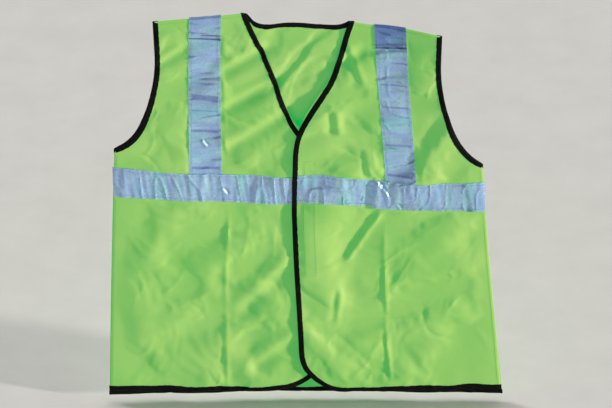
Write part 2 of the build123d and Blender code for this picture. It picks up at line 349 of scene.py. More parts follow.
# How the vest hangs. It drops by TILT per metre towards the wearer's left, and its hem leans and
# spreads sideways. The rest are local shifts: of the tape, the opening, the armpits and the hem.
TILT = 0.046
LEAN = 0.014
TAPE_LEAN = 0.010
EDGE_LEAN = 0.014
SPREAD = 0.014
TOP_DROP = 0.005
ARMPIT_RISE = 0.007
HEM_SAG = 0.008
PULL_UP = 0.009
SHOULDER_TURN = 0.0125
NECK_SAG = 0.0075


def lay(x, z):
    """In-plane shift of the pattern as it lies: (X shift, Z shift)."""
    low = 1 - np.clip(z / NECK_Z, 0, 1)
    centre = np.clip(1 - (x / side_x(z)) ** 2, 0, 1)
    shift_x = LEAN * low * low + SPREAD * x * low
    shift_x = shift_x + TAPE_LEAN * centre * np.exp(-((z - WAIST_Z) / 0.2) ** 2)
    shift_x = shift_x - EDGE_LEAN * np.exp(-(x / 0.05) ** 2) * np.exp(-((z - 0.35) / 0.16) ** 2)
    shift_z = -TILT * x * smooth((z - 0.01) / 0.36)
    over_tape = 1 + 1.6 * np.exp(-((x - 0.1) / 0.06) ** 2)
    shift_z = shift_z - TOP_DROP * smooth((z - 0.55) / 0.15) * over_tape
    armpit = np.exp(-((np.abs(x) - 0.29) / 0.05) ** 2 - ((z - ARMHOLE_Z) / 0.07) ** 2)
    return shift_x, shift_z + ARMPIT_RISE * armpit


def hem_sag(x, z, corner_x, corner_width):
    """How far a front's hem hangs below the pattern, less at its rounded corner."""
    corner = np.exp(-((x - corner_x) / corner_width) ** 2)
    wave = 0.0012 * ripples(x, 0 * z, 77, 4, (0.05, 0.15), (0, 1))
    return (HEM_SAG * (1 - corner) + wave) * (1 - smooth((z - FRONT_HEM_Z) / 0.12))


def lay_right(x, z):
    """Extra Z shift of the wearer's right front: its hem hangs a little lower."""
    return -hem_sag(x, z, 0.02, 0.06)


def lay_left(x, z):
    """Extra Z shift of the wearer's left front: lower hem, and tape pulled up beside the opening."""
    pulled = np.exp(-((x - 0.035) / 0.055) ** 2 - ((z - WAIST_Z) / 0.1) ** 2)
    return PULL_UP * pulled - hem_sag(x, z, 0.0, 0.035)


def lay_back(x, z):
    """Extra Z shift of the back: its neck edge sags beside the wearer's right neck point."""
    sag = NECK_SAG * np.exp(-((x + 0.058) / 0.030) ** 2) * smooth((NECK_X - np.abs(x)) / 0.014)
    return -sag * smooth((z - 0.58) / 0.10)


# Radius where front and back meet, highest folds below and above the waist, and the slow sway
ROUND = 0.0035
LOW_FOLD = 0.0058
HIGH_FOLD = 0.0030
SWAY = 0.0022
ROOM_SHARE = 0.75


def rounding(distance):
    """Quarter circle from an edge: zero on the edge, one past the rounding."""
    return np.sqrt(1 - (1 - np.clip(distance / ROUND, 0, 1)) ** 2)


# Broad folds, each (start X, start Z, end X, end Z, width, height) on the flat pattern
DRAPE_FOLDS = (
    (-0.128, 0.600, -0.050, 0.655, 0.012, 0.0085),
    (-0.135, 0.528, -0.035, 0.590, 0.013, 0.0095),
    (-0.130, 0.455, -0.020, 0.535, 0.014, 0.0090),
    (-0.240, 0.600, -0.180, 0.645, 0.010, 0.0060),
    (-0.105, 0.162, -0.010, 0.262, 0.016, 0.0080),
    (-0.090, 0.062, -0.010, 0.117, 0.014, 0.0070),
    (0.052, 0.535, 0.054, 0.490, 0.009, 0.0070),
    (0.117, 0.354, 0.068, 0.262, 0.007, 0.0026),
    (0.075, 0.665, 0.098, 0.590, 0.008, 0.0045),
    (0.020, 0.600, 0.100, 0.660, 0.012, 0.0060),
    (0.230, 0.530, 0.180, 0.440, 0.014, 0.0060),
)
DRAPE_WAVE = 0.0014


def drape(x, z):
    """Broad diagonal folds that run through front and back together, outwards of the front."""
    waves = DRAPE_WAVE * ripples(x, z, 301, 8, (0.05, 0.10), (108, 152)) * smooth((z - 0.15) / 0.2)
    edge = smooth((side_x(z) - np.abs(x)) / 0.05) * smooth((shoulder_z(x) - z) / 0.03)
    return (creases(x, z, DRAPE_FOLDS) + waves) * edge * smooth((z - 0.01) / 0.03)


class Surface:
    """A hanging layer of the vest: where a flat pattern point goes, and how far cloth lifts off it."""

    def __init__(self, outward, depth, room, field, tape_x, creases, extra_lay):
        self.outward = outward
        self.depth = depth
        self.room = room
        self.field = field
        self.calm_field = blurred(field, 14)
        self.tape_x = tape_x
        self.creases = creases
        self.extra_lay = extra_lay

    def relief(self, x, z):
        """Height of the wrinkles outwards, and the simulated shift of each point."""
        mask = tape_mask(x, z, self.tape_x, 0.008)[..., None]
        moved = sample(self.field, x, z) * (1 - mask) + sample(self.calm_field, x, z) * mask
        height = moved[..., 1] * self.outward + self.creases(x, z) * (1 - 0.6 * mask[..., 0])
        room = ROOM_SHARE * (self.room(x, z) - SEAM_GAP) + 0.0001
        sunk = -room * (1 - np.exp(np.minimum(height, 0) / room))
        most = LOW_FOLD + (HIGH_FOLD - LOW_FOLD) * smooth((z - WAIST_HIGH) / 0.04)
        raised = most * np.tanh(np.maximum(height, 0) / most)
        return np.where(height < 0, sunk, raised), moved

    def place(self, x, z, offset=0.0):
        """Points at flat pattern positions, lifted outwards by offset."""
        x, z = np.broadcast_arrays(np.asarray(x, float), np.asarray(z, float))
        below = shoulder_z(x) - z + 1.5 * np.clip(NECK_X - np.abs(x), 0, 1)
        beside = side_x(z) - np.abs(x)
        top_ramp, side_ramp = rounding(below), rounding(beside)
        calm = smooth(beside / 0.06) * smooth(below / 0.05)
        height, moved = self.relief(x, z)
        shift_x, shift_z = lay(x, z)
        shift_z = shift_z + self.extra_lay(x, z)
        turned = SHOULDER_TURN * smooth((x - 0.13) / 0.11) * smooth((z - 0.42) / 0.15)
        sway = SWAY * ripples(x, z, 5, 5, (0.3, 0.6)) - turned - drape(x, z)
        lift = self.depth(x, z) + height * calm + offset
        y = MIDDLE_Y + sway + self.outward * top_ramp * side_ramp * lift
        out_x = x + shift_x + moved[..., 0] * calm + np.sign(x) * offset * (1 - side_ramp)
        out_z = z + shift_z + moved[..., 2] * calm + offset * (1 - top_ramp)
        return np.stack([out_x, y, out_z], -1)


def bulge(x, z):
    """Share of the full depth: one on the centre line and none at the side seams."""
    return np.clip(1 - (x / side_x(z)) ** 2, 0, 1)


def under_depth(x, z):
    """Depth of both fronts before the lap."""
    return SEAM_GAP + FRONT_DEPTH * (1 - z / NECK_Z) * bulge(x, z)


def over_depth(x, z):
    """Depth of the wearer's left front, which laps over the right one."""
    lap = smooth((LAP_NONE_X - x) / (LAP_NONE_X - LAP_FULL_X)) * (1 - 0.75 * smooth((z - 0.50) / 0.10))
    return under_depth(x, z) + LAP * lap


NECK_FLATTER = 0.55


def back_depth(x, z):
    """Depth of the back, fullest between the shoulder blades and the waist."""
    height = np.clip(z / NECK_Z, 0, 1)
    full = BACK_HEM_DEPTH * (1 - height) + BACK_DEPTH * np.sin(math.pi * height)
    return SEAM_GAP + full * bulge(x, z) * (1 - NECK_FLATTER * smooth((z - 0.45) / 0.12))


FINE_CRINKLE = 0.00030
LINE_CRINKLE = 0.0018


def crinkles(x, z, seed):
    """Thin broken creases that cloth keeps from its packet."""
    bent_x = x + 0.012 * ripples(x, z, seed + 1, 5, (0.08, 0.2))
    bent_z = z + 0.012 * ripples(x, z, seed + 2, 5, (0.08, 0.2))
    total = FINE_CRINKLE * ripples(bent_x, bent_z, seed + 3, 12, (0.015, 0.035))
    for number, (low, high) in enumerate(((95, 175), (95, 175), (-30, 60))):
        lines = ripples(bent_x, bent_z, seed + 10 + number, 3, (0.06, 0.14), (low, high))
        patch = smooth(0.35 + 0.8 * ripples(x, z, seed + 20 + number, 4, (0.1, 0.25)))
        total = total + LINE_CRINKLE * patch * np.exp(-np.abs(lines) / 0.20) * (1 if number < 2 else -1)
    return total


IMPRINT = 0.0007
IMPRINT_EDGE = 0.002
IMPRINT_SLOPE = 0.003


def strip_imprint(x, z):
    """Step that the closure strip presses into the cloth over it."""
    across = smooth((STRIP_HALF + IMPRINT_EDGE - np.abs(x - STRIP_X)) / IMPRINT_SLOPE)
    low = smooth((z - STRIP_LOW.z + IMPRINT_EDGE) / IMPRINT_SLOPE)
    high = smooth((STRIP_HIGH.z + IMPRINT_EDGE - z) / IMPRINT_SLOPE)
    return IMPRINT * across * low * high


# Soft folds of the front, first the deep one that hangs under the waist tape
FRONT_FOLDS = (
    (0.118, 0.352, 0.066, 0.262, 0.008, 0.0125),
    (0.070, 0.262, 0.000, 0.232, 0.006, 0.0030),
    (0.088, 0.262, 0.060, 0.200, 0.012, -0.0040),
    (0.057, 0.205, 0.050, 0.140, 0.006, 0.0040),
    (0.128, 0.246, 0.130, 0.158, 0.0038, 0.0048),
    (0.130, 0.125, 0.134, 0.040, 0.0038, 0.0038),
    (-0.123, 0.345, -0.124, 0.275, 0.004, 0.0036),
    (-0.126, 0.120, -0.127, 0.068, 0.0045, 0.0050),
    (0.096, 0.460, 0.104, 0.405, 0.006, 0.0050),
    (0.112, 0.412, 0.104, 0.352, 0.006, 0.0120),
    (-0.195, 0.551, -0.120, 0.553, 0.006, 0.0070),
    (0.120, 0.590, 0.190, 0.575, 0.006, 0.0050),
)

# Sharp ridges where the vest was folded in its packet
FRONT_PACK_FOLDS = (
    (0.127, 0.345, 0.133, 0.020, 0.005, 0.0022),
    (-0.122, 0.350, -0.124, 0.020, 0.005, 0.0032),
    (0.010, 0.148, 0.290, 0.156, 0.005, 0.0036),
    (-0.290, 0.228, -0.125, 0.232, 0.006, 0.0026),
    (-0.270, 0.145, -0.020, 0.150, 0.005, 0.0034),
    (-0.1205, 0.690, -0.1215, 0.425, 0.004, 0.0020),
    (0.108, 0.680, 0.112, 0.425, 0.007, 0.0022),
)
BACK_FOLDS = (
    (0.034, 0.670, -0.042, 0.562, 0.009, -0.0110),
    (0.060, 0.690, -0.010, 0.610, 0.012, -0.0040),
)
BACK_PACK_FOLDS = (
    (-0.130, 0.640, -0.132, 0.020, 0.005, 0.0025),
    (0.130, 0.640, 0.132, 0.020, 0.005, 0.0025),
    (-0.28, 0.235, 0.28, 0.232, 0.006, 0.0016),
    (-0.28, 0.535, 0.28, 0.532, 0.006, 0.0016),
)


def front_creases(x, z):
    """Folds of the front, pack creases, crinkles and the closure's imprint."""
    total = creases(x, z, FRONT_FOLDS) + creases(x, z, FRONT_PACK_FOLDS, True)
    return total + strip_imprint(x, z) + crinkles(x, z, 121)


def back_creases(x, z):
    """Folds of the back under the neck, pack creases and crinkles."""
    total = creases(x, z, BACK_FOLDS) + creases(x, z, BACK_PACK_FOLDS, True)
    return total + crinkles(x, z, 221)


FRONT_FIELD = simulate("front_cloth", inside_front, 11, 0.015)
# The lapped edges hold the cloth beside the opening flatter, and the right side lies flatter too
FRONT_FIELD *= (1 - 0.7 * np.exp(-((GRID_X + 0.022) / 0.030) ** 2))[None, :, None]
FRONT_FIELD *= (1 - 0.3 * smooth((-0.12 - GRID_X) / 0.05))[None, :, None]
BACK_FIELD = simulate("back_cloth", inside_back, 12, 0.014)
FRONT = {
    "left": Surface(-1, over_depth, under_depth, FRONT_FIELD, FRONT_TAPE_X, front_creases,
                    lay_left),
    "right": Surface(-1, under_depth, under_depth, FRONT_FIELD, FRONT_TAPE_X, front_creases,
                     lay_right),
}
BACK = Surface(1, back_depth, back_depth, BACK_FIELD, BACK_TAPE_X, back_creases, lay_back)


# ---- mesh building

SHARP_ANGLE = math.radians(50)
FINE_STEPS = np.array([0, 0.0002, 0.0006, 0.0013, 0.0022])
FABRIC = 0.0004
INSET = 0.003
FOLD_HALF = 0.014
PANEL_STEP = 0.0025
NECK_HOLD = 0.06
PATH_STEP = 0.003
BACK_STEP = 0.0034


def shares(length, step, fine_start=False, fine_end=False):
    """Shares from zero to one of a length, with close steps at an end that rounds over."""
    low, high = (ROUND if fine_start else 0), length - (ROUND if fine_end else 0)
    middle = np.linspace(low, high, max(2, int(round((high - low) / step)) + 1))
    start = FINE_STEPS if fine_start else []
    end = length - FINE_STEPS[::-1] if fine_end else []
    return np.concatenate([start, middle, end]) / length


def mesh_object(name, points, faces, flat):
    """Mesh with smooth faces, hard rims and the flat pattern position of each point."""
    mesh = bpy.data.meshes.new(name)
    mesh.from_pydata(points.tolist(), [], faces.tolist())
    shaper = bmesh.new()
    shaper.from_mesh(mesh)
    bmesh.ops.recalc_face_normals(shaper, faces=shaper.faces)
    shaper.to_mesh(mesh)
    shaper.free()
    mesh.polygons.foreach_set("use_smooth", [True] * len(mesh.polygons))
    mesh.set_sharp_from_angle(angle=SHARP_ANGLE)
    attribute = mesh.attributes.new("flat", "FLOAT_VECTOR", "POINT")
    attribute.data.foreach_set("vector", flat.astype(np.float32).ravel())
    obj = bpy.data.objects.new(name, mesh)
    bpy.context.scene.collection.objects.link(obj)
    return obj


def ring_faces(rows, columns):
    """Faces of a closed solid of flattened rings: its skin and two end caps."""
    index = np.arange(rows * columns).reshape(rows, columns)
    wrapped = np.concatenate([index, index[:, :1]], 1)
    corners = [wrapped[:-1, :-1], wrapped[:-1, 1:], wrapped[1:, 1:], wrapped[1:, :-1]]
    skin = np.stack(corners, -1).reshape(-1, 4)
    near, far = np.arange(columns // 2 - 1), columns - 1 - np.arange(columns // 2 - 1)
    cap = np.stack([near, far, far - 1, near + 1], -1)
    last = (rows - 1) * columns
    return np.concatenate([skin, cap, cap[:, ::-1] + last])


def solid(name, rings, flat):
    """Closed mesh through flattened rings of points."""
    faces = ring_faces(*rings.shape[:2])
    return mesh_object(name, rings.reshape(-1, 3), faces, flat.reshape(-1, 3))


def sheet(name, outer, inner, flat):
    """Closed mesh between two grids of points, the inner one under the outer one."""
    rings = np.concatenate([outer, inner[:, ::-1]], 1)
    under = flat[:, ::-1].copy()
    under[..., 2] = 1
    return solid(name, rings, np.concatenate([flat, under], 1))


def resample(points, step, times=0):
    """Points at even steps along a path, softened a number of times."""
    along = distances(points)
    at = np.linspace(0, along[-1], max(2, int(round(along[-1] / step)) + 1))
    out = np.stack([np.interp(at, along, points[:, k]) for k in range(points.shape[1])], 1)
    for _ in range(times):
        soften(out)
    return out


def finish_piece(obj, material, slot, *nodes, body=None):
    """Material, the CAD nodes a piece stands for, and its body if it doesn't bend; the slot is not used."""
    if body:
        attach(obj, body)
    obj.data.materials.append(material)
    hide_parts(*nodes)
    return obj


def fold_open(obj, side, flat):
    """Let a front piece bend at its fold line, but stay sewn at the neck point."""
    joint = JOINTS[side + "_flap_fold"]
    line = Vector(joint["axis"])
    if line.z < 0:
        line.negate()
    outwards = Vector((line.z, 0, -line.x)).normalized() * SIGN[side]
    middle = Vector(joint["pos_m"])
    start, end = middle + outwards * FOLD_HALF, middle - outwards * FOLD_HALF
    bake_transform(obj, "vest_body", side + "_front_flap", start, end)
    x, z = flat.reshape(-1, flat.shape[-1])[:, 0], flat.reshape(-1, flat.shape[-1])[:, 1]
    weights = obj.data.attributes["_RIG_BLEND"].data
    values = np.zeros(len(weights))
    weights.foreach_get("value", values)
    weights.foreach_set("value", values * smooth((shoulder_z(x) - z) / NECK_HOLD))


def on_pattern(x, z):
    """Flat attribute of a grid: where each point lies on its own cloth or tape."""
    x, z = np.broadcast_arrays(x, z)
    return np.stack([x, z, np.zeros_like(x)], -1)


# ---- cloth panels

def front_panel(side, material):
    """One front, from the opening to the side seam and from the hem to the shoulder."""
    surface, sign = FRONT[side], SIGN[side]
    low = FRONT_HEM_Z + INSET
    v = shares(NECK_Z - low, PANEL_STEP, True, True)[:, None]
    u = shares(CHEST_HALF, PANEL_STEP, False, True)[None, :]
    z_in, z_out = low + v * (NECK_Z - low), low + v * (TIP_Z - low)
    x_in = opening_x(side, z_in - INSET) + INSET
    x_out = outer_x(z_out) - INSET * smooth((z_out - ARMHOLE_Z) / 0.012)
    x = x_in + u * (x_out - x_in)
    z = low + v * (shoulder_z(x) - low)
    x = x * sign
    flat = on_pattern(x, z)
    obj = sheet(side + "_front_cloth", surface.place(x, z, FABRIC), surface.place(x, z), flat)
    fold_open(obj, side, np.concatenate([flat, flat[:, ::-1]], 1))
    return finish_piece(obj, material, "fluorescent_fabric", side + "_front_panel_flap",
                        side + "_front_panel_side")


def back_panel(material):
    """The back, one piece from side seam to side seam."""
    v = shares(NECK_Z - INSET, BACK_STEP, False, True)[:, None]
    u = shares(2 * CHEST_HALF, BACK_STEP, True, True)[None, :] * 2 - 1
    z_out = INSET + v * (TIP_Z - INSET)
    x = u * (outer_x(z_out) - INSET * smooth((z_out - ARMHOLE_Z) / 0.012))
    neck = neck_z(x) - INSET * smooth((NECK_X - np.abs(x)) / 0.01)
    top = np.where(np.abs(x) < NECK_X, neck, shoulder_z(x))
    z = INSET + v * (top - INSET)
    obj = sheet("back_cloth", BACK.place(x, z, FABRIC), BACK.place(x, z), on_pattern(x, z))
    return finish_piece(obj, material, "fluorescent_fabric", "back_panel", body="vest_body")


# ---- edge bindings

# Section of the folded binding in millimetres: (distance into the cloth, height over the cloth)
BINDING_SECTION = [(8.5, 0.45), (8.2, 0.95), (6.2, 1.0), (3.6, 1.12), (1.4, 1.08), (0.3, 0.85),
                   (-0.25, 0.35), (-0.25, -0.05), (0.3, -0.45), (1.4, -0.62), (3.6, -0.68),
                   (6.2, -0.62), (8.2, -0.55), (8.5, -0.05)]


def path_normals(path, turn):
    """Unit normals of a flat path, to its right for turn 1 and to its left for turn -1."""
    tangent = unit(np.gradient(path, axis=0))
    return turn * np.stack([tangent[:, 1], -tangent[:, 0]], 1)


def binding_rings(surface, path, normals):
    """Rings of a binding along a path, with the small puckers its seam pulls into it."""
    section = np.array(BINDING_SECTION) / 1000
    along = distances(path)
    pucker = ripples(along, along * 0, 31, 8, (0.006, 0.02), (0, 1))[:, None]
    depth = section[:, 0] * (1 + 0.025 * pucker * (section[:, 0] > 0.004))
    height = section[:, 1] * (1 + 0.16 * pucker)
    x = path[:, :1] + normals[:, :1] * depth
    z = path[:, 1:] + normals[:, 1:] * depth
    flat = np.stack([np.broadcast_to(along[:, None], x.shape), depth, 0 * x], -1)
    return surface.place(x, z, height), flat, np.stack([x, z], -1)


def front_edge_path(side):
    """Pattern path from the side seam along the hem, round the corner and up to the neck point."""
    corner_x = OPENING[side](FRONT_HEM_Z + TINY)
    hem = np.array([[SIGN[side] * side_x(FRONT_HEM_Z), FRONT_HEM_Z], [corner_x, FRONT_HEM_Z]])
    curve = OPENING[side]
    return resample(np.concatenate([hem, np.stack([curve.x, curve.z], 1)]), PATH_STEP, 3)


def front_binding(side, material):
    """Binding of the hem, centre edge and neck edge of one front, in one length."""
    path = front_edge_path(side)
    normals = path_normals(path, SIGN[side])
    near_neck = smooth((path[:, 1:] - NECK_Z + 0.012) / 0.012)
    level = np.array([[SIGN[side], 0.0]])
    normals = normals * (1 - near_neck) + level * near_neck
    rings, flat, pattern = binding_rings(FRONT[side], path, unit(normals))
    obj = solid(side + "_front_binding", rings, flat)
    fold_open(obj, side, pattern)
    return finish_piece(obj, material, "edge_binding", side + "_front_edge_binding",
                        side + "_front_hem_binding")


def armhole_half(surface, side, upwards):
    """Rings of the armhole binding on one face of the vest."""
    path = resample(np.stack([SIGN[side] * ARMHOLE.x, ARMHOLE.z], 1), PATH_STEP, 3)
    path[-1] = SIGN[side] * TIP_X, TIP_Z
    path[0] = SIGN[side] * side_x(ARMHOLE_Z), ARMHOLE_Z
    normals = path_normals(path, -SIGN[side])
    seam = 1 - smooth((path[:, 1:] - ARMHOLE_Z) / 0.008)
    down = np.array([[SIGN[side] * 0.047, -1.0]])
    normals = normals * (1 - seam) + down * seam
    top = smooth((path[:, 1:] - TIP_Z + 0.008) / 0.008)
    level = np.array([[-SIGN[side], (NECK_Z - TIP_Z) / (TIP_X - NECK_X)]])
    normals = normals * (1 - top) + level * top
    rings, flat, _ = binding_rings(surface, path, unit(normals))
    return (rings, flat) if upwards else (rings[::-1][1:], flat[::-1][1:])


def armhole_binding(side, material):
    """Binding loop: up the front of the armhole, over the shoulder and down the back."""
    front, front_flat = armhole_half(FRONT[side], side, True)
    back, back_flat = armhole_half(BACK, side, False)
    flat = np.concatenate([front_flat, back_flat])
    obj = solid(side + "_armhole_loop", np.concatenate([front, back]), flat)
    return finish_piece(obj, material, "edge_binding", side + "_armhole_binding", body="vest_body")


def back_binding(name, path, turn, material, node):
    """Binding of one free edge of the back."""
    rings, flat, _ = binding_rings(BACK, path, path_normals(path, turn))
    obj = solid(name, rings, flat)
    return finish_piece(obj, material, "edge_binding", node, body="vest_body")


# ---- reflective tapes

TAPE_LOW = 0.00045
TAPE_HIGH = 0.0009
TAPE_STEP = 0.0016
TAPE_THINNEST = 0.0002

# A tape that laps over another one: how far it is lifted, and how long the lap is
LAP_LIFT = 0.0007
LAP_LENGTH = 0.018


def tape_wrinkles(along, across, seed, strength=1.0):
    """Stiff film wrinkles: mostly across the tape, sharp on one side."""
    waves = ripples(along, across, seed, 12, (0.008, 0.035), (-22, 22))
    wide = ripples(along, across, seed + 1, 5, (0.05, 0.12), (-40, 40))
    sharp = np.abs(ripples(along, across, seed + 2, 4, (0.03, 0.09), (-30, 30)))
    return strength * (0.0004 * waves + 0.0006 * wide + 0.0014 * np.exp(-sharp / 0.10))


# Tiny steep crumples of the tape film: (middle X, middle Z, size)
GLINTS = ((-0.153, 0.465, 1.0), (-0.125, 0.377, 0.9), (0.124, 0.398, 1.2), (0.132, 0.388, 0.9),
          (0.152, 0.364, 0.8))
GLINT_HALF = Vector((0.0038, -0.0058))
GLINT_WIDTH = 0.0028
GLINT_HEIGHT = -0.0038


def glints(x, z):
    """Height of the crumples that catch the light."""
    total = 0 * x
    for middle_x, middle_z, size in GLINTS:
        half = GLINT_HALF * size
        start, end = (middle_x - half.x, middle_z - half.y), (middle_x + half.x, middle_z + half.y)
        total = total + crease(x, z, start, end, GLINT_WIDTH * size, GLINT_HEIGHT * size)
    return total


def tape_columns():
    """Distances across a tape."""
    return np.linspace(-TAPE / 2, TAPE / 2, int(TAPE / TAPE_STEP) + 1)


def waist_offset(x, z, tape_x):
    """Height of the waist tape where it crosses a shoulder tape's end."""
    over = smooth((TAPE / 2 + 0.004 - np.abs(np.abs(x) - tape_x(z))) / 0.004)
    return LAP_LIFT * over * smooth((z - WAIST_Z + 0.016) / 0.008)


# Where the front waist tape is crumpled, and the fold beside it
CRUMPLE_X = 0.118
TAPE_FOLD = ((0.113, 0.412), (0.105, 0.352), 0.009, 0.0045)


def waist_grid(x_start, x_end, surface, tape_x, seed):
    """Outer and inner points, flat attribute and pattern positions of a waist tape."""
    rows = np.linspace(x_start, x_end, int(abs(x_end - x_start) / TAPE_STEP) + 1)[:, None]
    across = tape_columns()[None, :]
    x, z = np.broadcast_arrays(rows, WAIST_Z + across)
    lift = waist_offset(x, z, tape_x)
    crumple = 1 + 2.2 * np.exp(-((x - CRUMPLE_X) / 0.022) ** 2) * (surface.outward < 0)
    wrinkles = np.clip(0.0004 + tape_wrinkles(x, across, seed, 1.3) * crumple, -0.0002, 0.0026)
    ends = smooth((side_x(z) - np.abs(x)) / 0.01) * smooth((np.abs(x - x_start) - 0.004) / 0.012)
    tucked = smooth(np.abs(x - x_start) / 0.008)
    folds = (glints(x, z) + crease(x, z, *TAPE_FOLD)) * (surface.outward < 0)
    high = TAPE_LOW + 0.0001 + (TAPE_HIGH - TAPE_LOW + 0.0001) * tucked + lift + wrinkles * ends + folds
    high = np.maximum(high, TAPE_LOW + TAPE_THINNEST)
    outer = surface.place(x, z, high)
    inner = surface.place(x, z, TAPE_LOW + 0.6 * lift)
    return outer, inner, on_pattern(x, across), np.stack([x, z], -1)


def front_waist_tape(side, material):
    """Waist tape of one front, under its edge binding at the opening."""
    start = 0.005 if side == "right" else -0.004
    end = SIGN[side] * side_x(WAIST_Z)
    outer, inner, flat, pattern = waist_grid(start, end, FRONT[side], FRONT_TAPE_X, 41 + SIGN[side])
    obj = sheet(side + "_front_waist_tape", outer, inner, flat)
    fold_open(obj, side, np.concatenate([pattern, pattern[:, ::-1]], 1))
    return finish_piece(obj, material, "reflective_tape", side + "_waist_tape_flap",
                        side + "_waist_tape_side")


def back_waist_tape(material):
    """Waist tape of the back."""
    half = side_x(WAIST_Z)
    outer, inner, flat, _ = waist_grid(-half, half, BACK, BACK_TAPE_X, 51)
    obj = sheet("back_waist_band", outer, inner, flat)
    return finish_piece(obj, material, "reflective_tape", "back_waist_tape", body="vest_body")


def upright_grid(side, surface, tape_x, z_start, z_end, seed, lift, to_shoulder):
    """Outer and inner points and flat attribute of an upright stretch of shoulder tape."""
    v = shares(abs(z_end - z_start), TAPE_STEP, False, to_shoulder)[:, None]
    across = tape_columns()[None, :]
    z = z_start + v * (z_end - z_start)
    x = SIGN[side] * tape_x(z) + across
    if to_shoulder:
        z = z_start + v * (shoulder_z(x) - z_start)
        x = SIGN[side] * tape_x(z) + across
    x, z = np.broadcast_arrays(x, z)
    wrinkles = np.clip(0.0002 + tape_wrinkles(z, across, seed), -0.0002, 0.0014)
    high = TAPE_HIGH + lift + wrinkles + glints(x, z) * (surface.outward < 0)
    high = np.maximum(high, TAPE_LOW + lift + TAPE_THINNEST)
    outer, inner = surface.place(x, z, high), surface.place(x, z, TAPE_LOW + lift)
    return outer, inner, on_pattern(z * surface.outward, across)


def front_shoulder_tape(side, material):
    """Shoulder tape of one front, its lower end under the waist tape."""
    top = TAPE_LAP_Z + LAP_LENGTH
    grid = upright_grid(side, FRONT[side], FRONT_TAPE_X, WAIST_Z, top, 61 + SIGN[side], 0, False)
    obj = sheet(side + "_front_upright_tape", *grid)
    return finish_piece(obj, material, "reflective_tape", side + "_front_shoulder_tape",
                        body="vest_body")


def back_shoulder_tape(side, material):
    """Shoulder tape of the back, brought over the shoulder and lapped on the front one."""
    up = upright_grid(side, BACK, BACK_TAPE_X, WAIST_Z, NECK_Z, 71 + SIGN[side], 0, True)
    down = upright_grid(side, FRONT[side], FRONT_TAPE_X, TAPE_LAP_Z, NECK_Z, 81 + SIGN[side],
                        LAP_LIFT, True)
    rise = smooth((up[2][..., 0] - NECK_Z + 0.08) / 0.06)[..., None]
    top_out, top_in = down[0][-1], down[1][-1]
    gap_out, gap_in = top_out - up[0][-1], top_in - up[1][-1]
    outer = np.concatenate([up[0] + rise * gap_out, down[0][::-1][1:]])
    inner = np.concatenate([up[1] + rise * gap_in, down[1][::-1][1:]])
    flat = np.concatenate([up[2], down[2][::-1][1:]])
    obj = sheet(side + "_over_shoulder_tape", outer, inner, flat)
    return finish_piece(obj, material, "reflective_tape", side + "_back_shoulder_tape",
                        body="vest_body")


# ---- stitches

# Rise and radius of a stitch at its four rings, and how the threads lie on each surface
STITCH_RISE = np.array([-0.00012, 0.00016, 0.00018, -0.00012])
STITCH_RADIUS = np.array([0.00010, 0.00026, 0.00026, 0.00010])
STITCH_SIDES = 6
STITCH_STEP = 0.0008
CLOTH_THREAD = FABRIC + 0.0001
TAPE_THREAD = TAPE_HIGH + 0.0003
WAIST_THREAD = TAPE_HIGH + 0.00035
LAP_THREAD = TAPE_HIGH + 0.001
TAPE_MARGIN = 0.004
SEAM_MARGIN = 0.0045


def repeated(faces, count, size, start=0):
    """The same faces for each of a count of parts with size points, the first point at start."""
    return (faces[None] + (start + np.arange(count) * size)[:, None, None]).reshape(-1, 4)


def stitch_row(surface, path, height):
    """Points of every stitch along a flat path, shape (stitch, ring, corner, 3), and their pattern
    places. The height is a number, or a function of the place."""
    path = resample(np.asarray(path, float), STITCH_STEP)
    count = (len(path) - 1) // 4
    index = np.arange(count)[:, None] * 4 + np.arange(4)[None, :]
    middle, along = path[index], unit(np.gradient(path, axis=0))[index]
    turn = 2 * math.pi * np.arange(STITCH_SIDES) / STITCH_SIDES
    radius = STITCH_RADIUS[None, :, None]
    x = middle[..., 0, None] - along[..., 1, None] * radius * np.cos(turn)
    z = middle[..., 1, None] + along[..., 0, None] * radius * np.cos(turn)
    over = height(middle[..., 0], middle[..., 1])[..., None] if callable(height) else height
    lift = over + STITCH_RISE[None, :, None] + radius * np.sin(turn)
    return surface.place(x, z, lift), on_pattern(x, z)


def stitches(name, rows, material, *nodes, body=None):
    """One mesh of many stitches, each a short rounded bar; returns it and its pattern places."""
    points, flat = [np.concatenate(parts) for parts in zip(*rows)]
    count, rings, corners = points.shape[:3]
    faces = repeated(ring_faces(rings, corners), count, rings * corners)
    obj = mesh_object(name, points.reshape(-1, 3), faces, flat.reshape(-1, 3))
    return finish_piece(obj, material, "sewing_thread", *nodes, body=body), flat


def level_rows(surface, x_start, x_end, tape_x):
    """Both stitch rows of a waist tape."""
    def height(x, z):
        return WAIST_THREAD + waist_offset(x, z, tape_x)

    edges = [WAIST_Z + edge * (TAPE / 2 - TAPE_MARGIN) for edge in (-1, 1)]
    return [stitch_row(surface, [[x_start, z], [x_end, z]], height) for z in edges]


def upright_rows(surface, side, tape_x, z_start, z_end, lift):
    """Both stitch rows of an upright tape."""
    z = np.linspace(z_start, z_end, 40)
    edges = [SIGN[side] * tape_x(z) + edge * (TAPE / 2 - TAPE_MARGIN) for edge in (-1, 1)]
    return [stitch_row(surface, np.stack([x, z], 1), TAPE_THREAD + lift) for x in edges]


